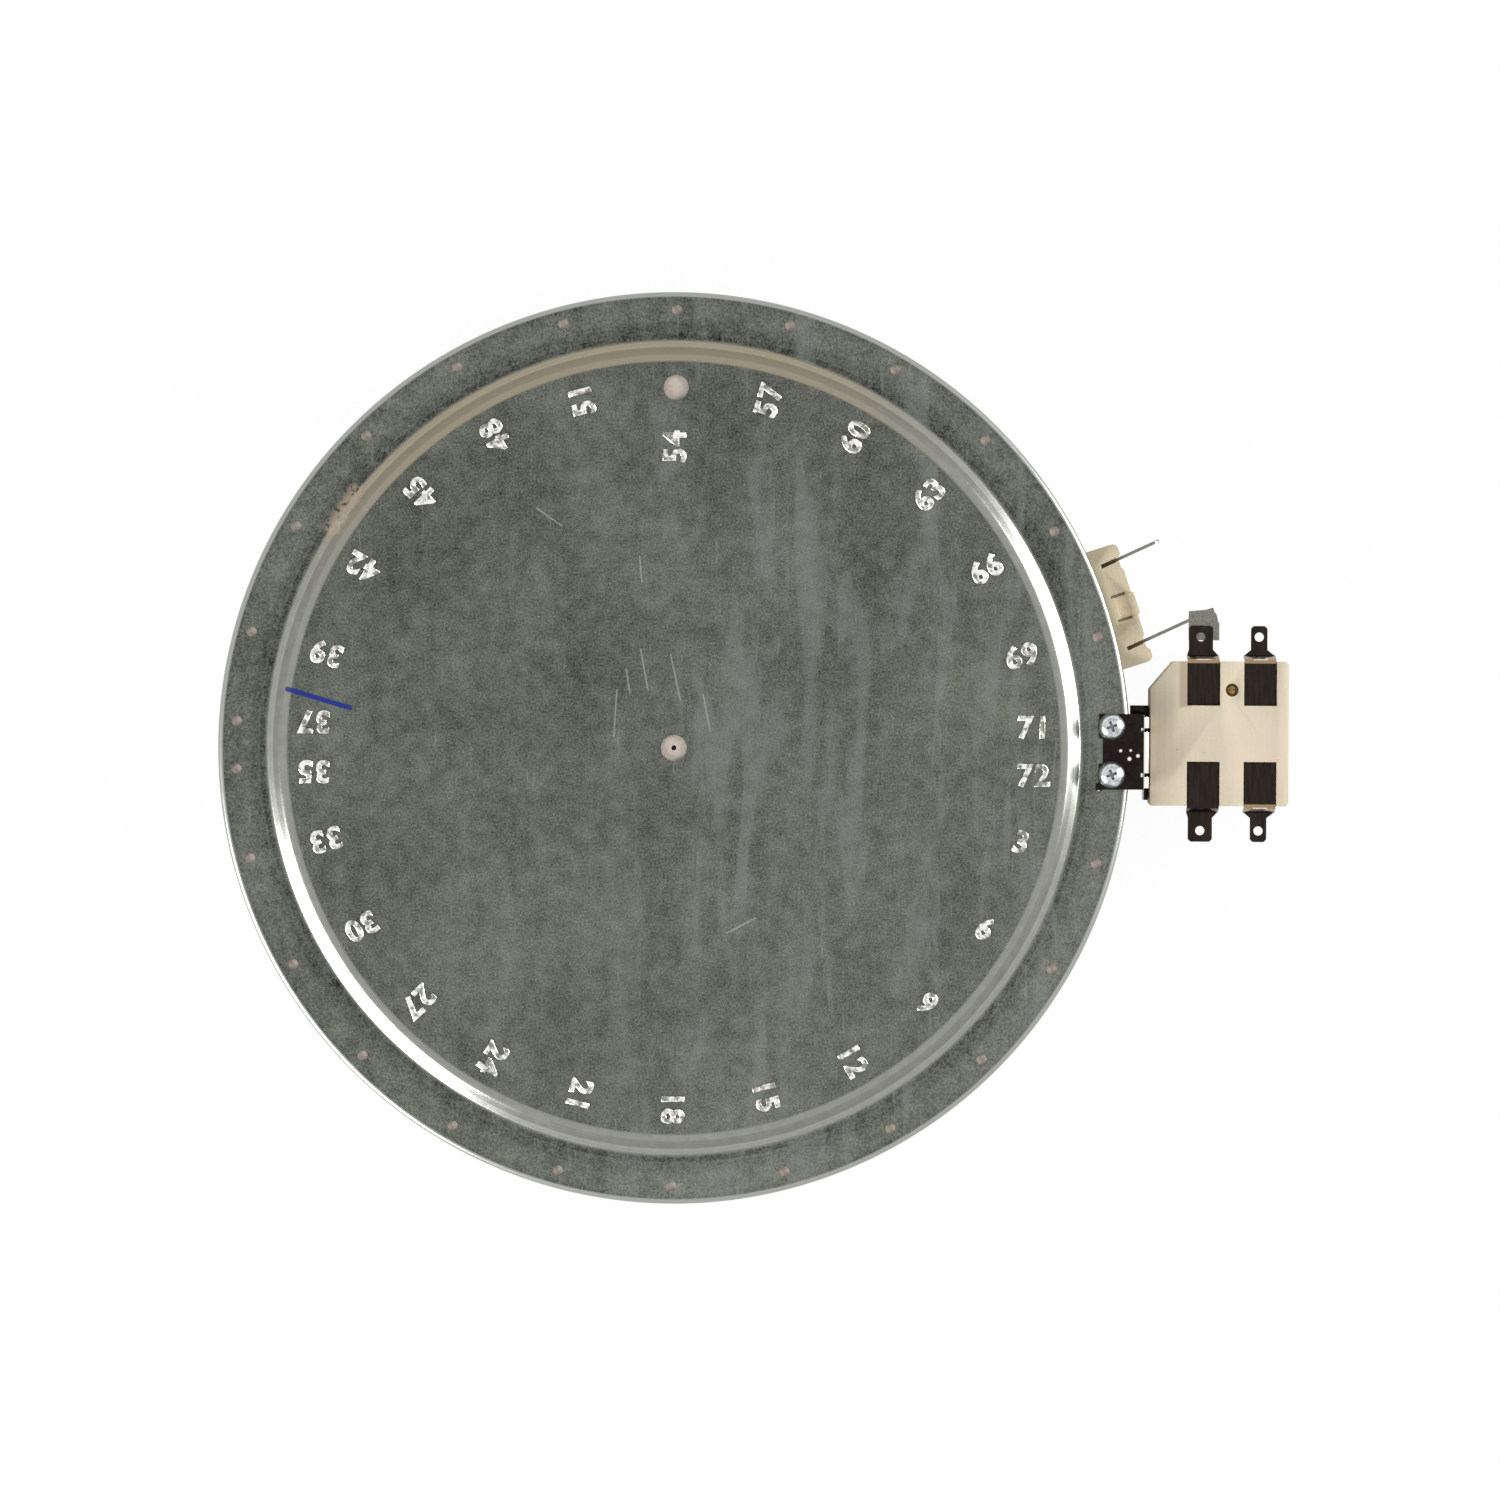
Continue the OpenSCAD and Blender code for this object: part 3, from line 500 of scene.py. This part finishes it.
def limiter_ceramic():
    finish, colour, fine = fired_ceramic("limiter_ceramic", tuple(colours().body), 0.16)
    # Painted shade along the left wall of the upper-left terminal's pocket.
    painted_pocket_shade = finish.band(finish.x, 132.2, 133.8, 1.3) * finish.band(finish.y, 12, 23, 1.0)
    colour = finish.blend(painted_pocket_shade * 0.45, colour, shade(110, 84, 58))
    centre = finish.spot(150, 2, 6, 12) * 0.35
    colour = finish.blend(centre, colour, shade(222, 205, 184))
    finish.feed("Base Color", colour)
    finish.bump(fine, 0.03)
    return finish.material


def block_ceramic():
    finish, colour, fine = fired_ceramic("block_ceramic", tuple(colours().block), 0.1)
    burnt = finish.rise(finish.noise(2.4, 3), 0.55, 0.72)
    colour = finish.blend(burnt * 0.4, colour, shade(168, 132, 112))
    finish.feed("Base Color", colour)
    finish.bump(fine, 0.05)
    return finish.material


def plated(name, base, other, roughness, grain=0.6, stretch=(1, 1, 1), relief=0.004):
    """Metal that varies between two tones along its grain."""
    finish = Finish(name, metallic=1.0)
    tone = finish.noise(grain, 3, stretch=stretch)
    colour = finish.blend(finish.rise(tone, 0.3, 0.7), base, other)
    finish.feed("Roughness", roughness + (tone - 0.5) * 0.16)
    finish.bump(tone, relief)
    return finish, colour


def metal(name, base, other, roughness, **grain):
    finish, colour = plated(name, base, other, roughness, **grain)
    finish.feed("Base Color", colour)
    return finish.material


def dark_plate():
    """Near-black plated terminals, with a painted tan reflection and painted highlights where the
    risers bend down.
    """
    finish, colour = plated("dark_plate", tuple(colours().plate), shade(52, 44, 40), 0.3,
                            grain=0.8, stretch=(1, 9, 1))
    reach = abs(finish.y - 4.6)
    lit_risers = finish.rise(finish.y, 4, 5).most(finish.rise(finish.x, 144, 146))
    # Painted tan reflection on the risers of three terminals; the lower-left one has none.
    ledge = finish.band(reach, 18.5, 20.0, 0.25) * lit_risers
    colour = finish.blend(ledge, colour, shade(158, 136, 108))
    # Painted highlights near the outer edge of the same three risers.
    upper = finish.spot(137.8, 24.3, 1.5, 0.8).most(finish.spot(152.6, 24.3, 1.5, 0.8))
    shine = upper.most(finish.spot(152.6, -15.1, 1.5, 0.8)) * finish.band(reach, 19.4, 20.0, 0.3)
    finish.feed("Base Color", finish.blend(shine, colour, shade(240, 230, 222)))
    return finish.material


def bracket_plate():
    """Dark plated sheet, with a painted highlight along its bend and small white specks."""
    finish, colour = plated("bracket_plate", tuple(colours().plate), shade(34, 26, 28), 0.25,
                            grain=1.6)
    bend = finish.band(finish.x, 122.3, 123.5, 0.25) * finish.band(finish.y, -11, 9, 0.4)
    # Painted highlight: a white strip along the bend.
    bright = bend * finish.rise(finish.z, 20, 22)
    # Small white specks on the plate.
    white_specks = finish.spot(118.4, -2.1, 0.35, 0.3)
    for at in ((120.6, -1.3, 0.3), (116.1, 0.0, 0.22), (110.4, -10.9, 0.45), (118.7, 0.1, 0.16)):
        white_specks = white_specks.most(finish.spot(*at, 0.3))
    colour = finish.blend(bright.most(white_specks), colour, shade(246, 238, 228))
    finish.feed("Base Color", colour)
    return finish.material


def strap_metal():
    """Grey nickel-plated strip with a brown heat tint by the block."""
    finish, colour = plated("strap_metal", shade(112, 110, 104), shade(138, 136, 128), 0.38,
                            grain=0.5)
    near = 1 - finish.rise(finish.distance(0, 0), 124.5, 129)
    colour = finish.blend(near * 0.75, colour, shade(84, 66, 40))
    finish.feed("Base Color", colour)
    return finish.material


def oxidised_ribbon():
    """Resistance alloy with a dark oxide, lighter along the edges that rubbed."""
    finish, colour = plated("oxidised_ribbon", shade(112, 98, 84), shade(78, 68, 60), 0.5, grain=2)
    edge = 1 - finish.rise(finish.z, 11, 11.5)
    finish.feed("Base Color", finish.blend(edge * 0.5, colour, shade(150, 136, 120)))
    return finish.material


def bright_zinc():
    """Bluish bright zinc, with painted shade in the recess and on the rim of the head."""
    finish, colour = plated("bright_zinc", shade(226, 230, 230), shade(168, 178, 184), 0.2,
                            grain=1.4)
    half = sizes().pair_gap / 2
    along = math.sqrt(sizes().pilot_circle ** 2 - half ** 2)
    away = finish.distance(along, half).least(finish.distance(along, -half))
    # Painted shade in the cross recess.
    recess = (1 - finish.rise(away, 1.9, 2.2)) * (1 - finish.rise(finish.z + away * 0.12, 26.9, 27.2))
    colour = finish.blend(recess * 0.8, colour, shade(66, 74, 80))
    # Painted shade: the rim of the head is greyer than its top.
    side = finish.rise(away, 2.7, 3.3) * 0.5
    finish.feed("Base Color", finish.blend(side, colour, shade(150, 152, 150)))
    return finish.material


def quartz():
    """Clear quartz, faintly cloudy where it was drawn."""
    finish = Finish("quartz", transmission_weight=0.9, ior=1.46)
    cloud = finish.noise(4, 3, stretch=(8, 1, 1))
    finish.feed("Roughness", 0.04 + finish.rise(cloud, 0.5, 0.75) * 0.14)
    finish.feed("Base Color", finish.blend(cloud, shade(240, 244, 242), shade(226, 232, 230)))
    return finish.material


# Pieces


class ElementStep:
    """What every step of the build shares."""

    bl_options = {"REGISTER", "UNDO"}

    def execute(self, context):
        self.build()
        return {"FINISHED"}


def bend(centre, radius, start, end, steps):
    """Points of a bend in the pan's section."""
    angles = (math.radians(start + (end - start) * i / steps) for i in range(steps + 1))
    return [(centre[0] + radius * math.cos(a), centre[1] + radius * math.sin(a)) for a in angles]


def pan_outline():
    """Outer face of the pan from the hole in its middle to the flared rim."""
    top, ledge = sizes().disc_height, sizes().shoulder_height
    foot_bend = 1.2
    top_bend = (106.2 - 101 - (top - ledge)) / math.tan(math.radians(22.5)) - foot_bend
    flat = [(radius, top) for radius in (3.35, 12, 30, 50, 70, 88, 98)]
    shoulder = [(108, ledge), (112, ledge), (116, ledge)]
    return (flat + bend((101, top - top_bend), top_bend, 90, 45, 6)
            + bend((106.2, ledge + foot_bend), foot_bend, 225, 270, 5) + shoulder
            + bend((117.1, ledge - 1.5), 1.5, 90, 0, 8)
            + [(118.6, 14), (118.6, 6), (118.6, 3.2), (119, 2.6), (119, 2)])


def pilot_places():
    """Centres of the pilot holes: one every 15 degrees, and a pair on the X axis."""
    circle, half = sizes().pilot_circle, sizes().pair_gap / 2
    pair = math.degrees(math.asin(half / circle))
    singles = [a for a in range(0, FULL_TURN, 15) if a % 180]
    return [polar(circle, a) for a in (*singles, pair, -pair, 180 - pair, 180 + pair)]


class ELEMENT_OT_pan(ElementStep, bpy.types.Operator):
    """Draws the sheet pan and punches its holes"""

    bl_idname = "element.pan"
    bl_label = "Pan"

    def build(self):
        pan = turned("pan_shell", pan_outline(), sizes().sides)
        apply(pan, "SOLIDIFY", thickness=sizes().sheet * MM, offset=-1.0, use_even_offset=True)
        holes = [rod("hole", 1.35, 20, 26, at, 24) for at in pilot_places()]
        holes.append(rod("hole", 3.25, 24, 30, (0, 93.6), 48))
        holes.append(bar("window", (108.6, -13.8, 5.7), (128.6, 13.8, 16.3), 18))
        neck = rod("neck", 4.7, -10, 10, (0, 0), 48)
        neck.rotation_euler.y = math.radians(90)
        neck.location = mm(118.6, 0, 7)
        cut(pan, holes)
        cut(pan, [settle(neck, "neck")])
        cut(pan, [bar("notch", (108.6, -4.7, -1), (128.6, 4.7, 7.5))])
        smooth(pan, 30)
        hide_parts("pan")
        dress(pan, coated_sheet(), "coated_sheet")


class ELEMENT_OT_numbers(ElementStep, bpy.types.Operator):
    """Stamps the position numbers into the disc"""

    bl_idname = "element.numbers"
    bl_label = "Numbers"

    def build(self):
        half = sizes().pair_gap / 2
        circle = sizes().digit_circle
        labels = [(72 - a // 5, polar(circle if a != 90 else 78.2, a), a)
                  for a in range(15, FULL_TURN, 15) if a != 180]
        labels += [(71, (circle, half - 0.6), 0), (72, (circle, -half - 0.6), 0)]
        labels += [(37, (-circle, half + 0.2), 180), (35, (-circle, -half - 0.2), 180)]
        joined_numbers = joined("position_numbers", [self.label(*label) for label in labels])
        smooth(joined_numbers, 50)
        dress(joined_numbers, stamped_digits(), "coated_sheet")

    @staticmethod
    def label(number, place, degrees):
        bpy.ops.object.select_all(action="DESELECT")
        bpy.ops.object.text_add(
            location=mm(*place, sizes().disc_height), rotation=(0, 0, math.radians(degrees)))
        text = bpy.context.object
        text.data.body = str(number)
        text.data.size = sizes().digit_size * MM
        text.data.space_character = 1.12
        text.data.align_x = "CENTER"
        text.data.align_y = "CENTER"
        text.data.resolution_u = 4
        text.data.offset = -0.02 * MM
        text.data.extrude = 0.02 * MM
        text.data.bevel_depth = 0.42 * MM
        text.data.bevel_resolution = 3
        bpy.ops.object.convert(target="MESH")
        return settle(bpy.context.object, "label")


class ELEMENT_OT_insulation(ElementStep, bpy.types.Operator):
    """Finishes the pressed insulation"""

    bl_idname = "element.insulation"
    bl_label = "Insulation"

    def build(self):
        dress(NODES["insulation_base"],
              pressed_fibre("microporous", shade(222, 212, 202), shade(186, 172, 160), 0.9))
        dress(NODES["insulation_ring"],
              pressed_fibre("ring_fibre", shade(226, 219, 205), shade(196, 184, 164), 1.4))


class ELEMENT_OT_ribbon(ElementStep, bpy.types.Operator):
    """Finishes the heating ribbon and its leads"""

    bl_idname = "element.ribbon"
    bl_label = "Heating ribbon"

    def build(self):
        dress(NODES["heating_ribbon"], oxidised_ribbon())
        for node in ("ribbon_lead_feed", "ribbon_lead_link"):
            dress(NODES[node], metal("lead_strip_" + node[-4:], shade(140, 130, 118),
                                     shade(112, 102, 92), 0.45))


class ELEMENT_OT_terminal_block(ElementStep, bpy.types.Operator):
    """Rounds the ceramic block and its blades"""

    bl_idname = "element.terminal_block"
    bl_label = "Terminal block"

    def build(self):
        dress(softened("terminal_block", 0.22), block_ceramic(), "block_ceramic")
        strap = strap_metal()
        for node in ("blade_feed", "blade_link"):
            dress(softened(node, 0.12), strap, "blade_metal")


class ELEMENT_OT_bracket(ElementStep, bpy.types.Operator):
    """Rounds the bracket and sets its two screws"""

    bl_idname = "element.bracket"
    bl_label = "Bracket"

    def build(self):
        dress(softened("mounting_bracket", 0.14), bracket_plate(), "dark_plate")
        zinc = bright_zinc()
        circle, half = sizes().pilot_circle, sizes().pair_gap / 2
        along = math.sqrt(circle ** 2 - half ** 2)
        heads = [self.screw((along, side * half)) for side in (1, -1)]
        screws = joined("bracket_screw_pair", heads)
        smooth(screws, 40)
        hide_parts("bracket_screws")
        dress(screws, zinc, "zinc")

    @staticmethod
    def screw(place):
        """A pan-head screw with a cross recess, point down, standing on the bracket."""
        dome = bend((0, -1.35), 3.75, 30, 86, 8)
        outline = [(0.2, -9.5), (1.3, -8.2), (1.3, 0), (3.4, 0), (3.5, 0.12), *dome[1:]]
        made = turned("screw", outline, 48, closed=True)
        only(made)
        bpy.ops.object.mode_set(mode="EDIT")
        bpy.ops.mesh.select_all(action="SELECT")
        bpy.ops.mesh.fill_holes(sides=64)
        bpy.ops.mesh.normals_make_consistent(inside=False)
        bpy.ops.object.mode_set(mode="OBJECT")
        wings = []
        for turn in (20, 110):
            wing = bar("wing", (-1.95, -0.45, 0.8), (1.95, 0.45, 4), turn)
            wings.append(wing)
        for wing in wings:
            only(wing)
            bpy.ops.object.mode_set(mode="EDIT")
            bpy.ops.mesh.select_all(action="DESELECT")
            bpy.ops.object.mode_set(mode="OBJECT")
            for face in wing.data.polygons:
                face.select = face.normal.z < -0.9
            bpy.ops.object.mode_set(mode="EDIT")
            bpy.ops.transform.resize(value=(0.5, 0.5, 1), center_override=mm(0, 0, 0.8))
            bpy.ops.object.mode_set(mode="OBJECT")
            cut(made, [wing])
        made.location = mm(*place, 25)
        return settle(made, "screw")


class ELEMENT_OT_limiter(ElementStep, bpy.types.Operator):
    """Rounds the limiter's body, cover, terminals and adjuster"""

    bl_idname = "element.limiter"
    bl_label = "Limiter"

    def build(self):
        ceramic = limiter_ceramic()
        dress(softened("limiter_base", 0.2), ceramic, "body_ceramic")
        dress(softened("limiter_cover", 0.2), ceramic, "body_ceramic")
        plate = dark_plate()
        for node in ("terminal_power_link", "terminal_power_feed", "terminal_signal_upper",
                     "terminal_signal_lower"):
            dress(softened(node, 0.12), plate, "dark_plate")
        dress(softened("adjusting_bush", 0.08),
              metal("bush_brass", shade(96, 80, 44), shade(60, 48, 30), 0.4), "brass")
        dress(softened("adjusting_screw", 0.06),
              metal("screw_brass", shade(176, 150, 92), shade(128, 104, 58), 0.35), "brass")
        dress(softened("cover_screws", 0.1),
              metal("cover_screw_steel", shade(190, 186, 170), shade(150, 144, 124), 0.35), "zinc")


class ELEMENT_OT_switches(ElementStep, bpy.types.Operator):
    """Finishes the probe and the switches inside the limiter"""

    bl_idname = "element.switches"
    bl_label = "Probe and switches"

    def build(self):
        dress(NODES["probe_tube"], quartz())
        steel = metal("probe_steel", shade(176, 174, 168), shade(140, 136, 128), 0.35,
                      stretch=(1, 1, 1))
        rod_metal = metal("rod_alloy", shade(150, 146, 138), shade(120, 114, 106), 0.4,
                          stretch=(12, 1, 1))
        spring = metal("spring_bronze", shade(196, 168, 112), shade(164, 134, 84), 0.28,
                       stretch=(1, 10, 1))
        silver = metal("contact_silver", shade(226, 226, 222), shade(198, 198, 194), 0.3)
        pins, colour, fine = fired_ceramic("pin_ceramic", shade(232, 226, 212), 0.05)
        pins.feed("Base Color", colour)
        pins.bump(fine, 0.02)
        finishes = {
            "probe_collar": steel, "probe_end_cap": steel, "probe_rod": rod_metal,
            "snap_spring_power": spring, "snap_spring_signal": spring,
            "fixed_contacts": silver, "moving_contacts": silver,
            "push_pin_power": pins.material, "push_pin_signal": pins.material,
        }
        for node, finish in finishes.items():
            dress(NODES[node], finish)


class ELEMENT_OT_stage(ElementStep, bpy.types.Operator):
    """Sets the floor, the light and the camera"""

    bl_idname = "element.stage"
    bl_label = "Stage"

    def build(self):
        self.floor()
        self.world()
        self.lamp("softbox_right", 14, 14, 0.75, 0.5, 18)
        self.lamp("softbox_left", 216, 14, 0.95, 0.5, 22)
        self.camera()
        bpy.context.scene.view_settings.view_transform = "Standard"

    @staticmethod
    def seen(tree, nodes):
        """1 for what the camera sees, straight or in gloss or glass."""
        path = nodes.new("ShaderNodeLightPath")
        total = path.outputs["Is Camera Ray"]
        for name in ("Is Glossy Ray", "Is Transmission Ray"):
            add = nodes.new("ShaderNodeMath")
            add.operation = "MAXIMUM"
            tree.links.new(total, add.inputs[0])
            tree.links.new(path.outputs[name], add.inputs[1])
            total = add.outputs[0]
        return total

    def floor(self):
        bpy.ops.object.select_all(action="DESELECT")
        bpy.ops.mesh.primitive_plane_add(size=9, location=(0, 0, 0))
        floor = settle(bpy.context.object, "floor")
        material = bpy.data.materials.new("pale_floor")
        material.use_nodes = True
        tree, nodes = material.node_tree, material.node_tree.nodes
        nodes.clear()
        diffuse = nodes.new("ShaderNodeBsdfDiffuse")
        diffuse.inputs["Color"].default_value = (0.9, 0.9, 0.9, 1)
        glow = nodes.new("ShaderNodeEmission")
        mix = nodes.new("ShaderNodeMixShader")
        share = nodes.new("ShaderNodeMath")
        share.operation = "MULTIPLY"
        share.inputs[1].default_value = 0.96
        tree.links.new(self.seen(tree, nodes), share.inputs[0])
        tree.links.new(share.outputs[0], mix.inputs[0])
        tree.links.new(diffuse.outputs[0], mix.inputs[1])
        tree.links.new(glow.outputs[0], mix.inputs[2])
        out = nodes.new("ShaderNodeOutputMaterial")
        tree.links.new(mix.outputs[0], out.inputs["Surface"])
        floor.data.materials.append(material)

    def world(self):
        world = bpy.data.worlds.new("studio")
        bpy.context.scene.world = world
        world.use_nodes = True
        tree, nodes = world.node_tree, world.node_tree.nodes
        background = nodes["Background"]
        background.inputs["Color"].default_value = (1, 1, 1, 1)
        strength = nodes.new("ShaderNodeMapRange")
        strength.inputs["To Min"].default_value = 0.5
        strength.inputs["To Max"].default_value = 1.0
        tree.links.new(self.seen(tree, nodes), strength.inputs["Value"])
        tree.links.new(strength.outputs[0], background.inputs["Strength"])

    @staticmethod
    def lamp(name, azimuth, elevation, width, height, power):
        distance = 1.2
        x, y = polar(distance * math.cos(math.radians(elevation)), azimuth)
        bpy.ops.object.select_all(action="DESELECT")
        bpy.ops.object.light_add(
            type="AREA", location=(x, y, distance * math.sin(math.radians(elevation))))
        lamp = bpy.context.object
        lamp.name = name
        lamp.rotation_euler = (math.radians(90 - elevation), 0, math.radians(azimuth + 90))
        lamp.data.shape = "RECTANGLE"
        lamp.data.size = width
        lamp.data.size_y = height
        lamp.data.energy = power
        lamp.visible_camera = False

    @staticmethod
    def camera():
        bpy.ops.object.select_all(action="DESELECT")
        distance = 2.4
        bpy.ops.object.camera_add(
            location=(*mm(19.77, -0.42), distance + sizes().shoulder_height * MM),
            rotation=(0, 0, math.radians(0.37)))
        camera = bpy.context.object
        camera.name = "camera"
        camera.data.sensor_width = 36
        camera.data.lens = 36 * distance / 0.39
        camera.data.clip_end = 20
        bpy.context.scene.camera = camera


class ELEMENT_PT_steps(bpy.types.Panel):
    """Lists the steps of the build"""

    bl_idname = "ELEMENT_PT_steps"
    bl_label = "Heating element"
    bl_space_type = "VIEW_3D"
    bl_region_type = "UI"
    bl_category = "Element"

    def draw(self, context):
        for group in (context.scene.element_sizes, context.scene.element_colours):
            for name in group.__annotations__:
                self.layout.prop(group, name)
        for step in STEPS:
            self.layout.operator(step.bl_idname)


STEPS = (
    ELEMENT_OT_stage, ELEMENT_OT_pan, ELEMENT_OT_numbers, ELEMENT_OT_insulation,
    ELEMENT_OT_ribbon, ELEMENT_OT_terminal_block, ELEMENT_OT_bracket, ELEMENT_OT_limiter,
    ELEMENT_OT_switches,
)
GROUPS = (ElementSizes, ElementColours)


def register():
    for group in (*GROUPS, *STEPS, ELEMENT_PT_steps):
        bpy.utils.register_class(group)
    bpy.types.Scene.element_sizes = bpy.props.PointerProperty(type=ElementSizes)
    bpy.types.Scene.element_colours = bpy.props.PointerProperty(type=ElementColours)


def unregister():
    del bpy.types.Scene.element_colours
    del bpy.types.Scene.element_sizes
    for group in reversed((*GROUPS, *STEPS, ELEMENT_PT_steps)):
        bpy.utils.unregister_class(group)


def main():
    register()
    for step in STEPS:
        space, name = step.bl_idname.split(".")
        getattr(getattr(bpy.ops, space), name)()


if __name__ == "__main__":
    main()
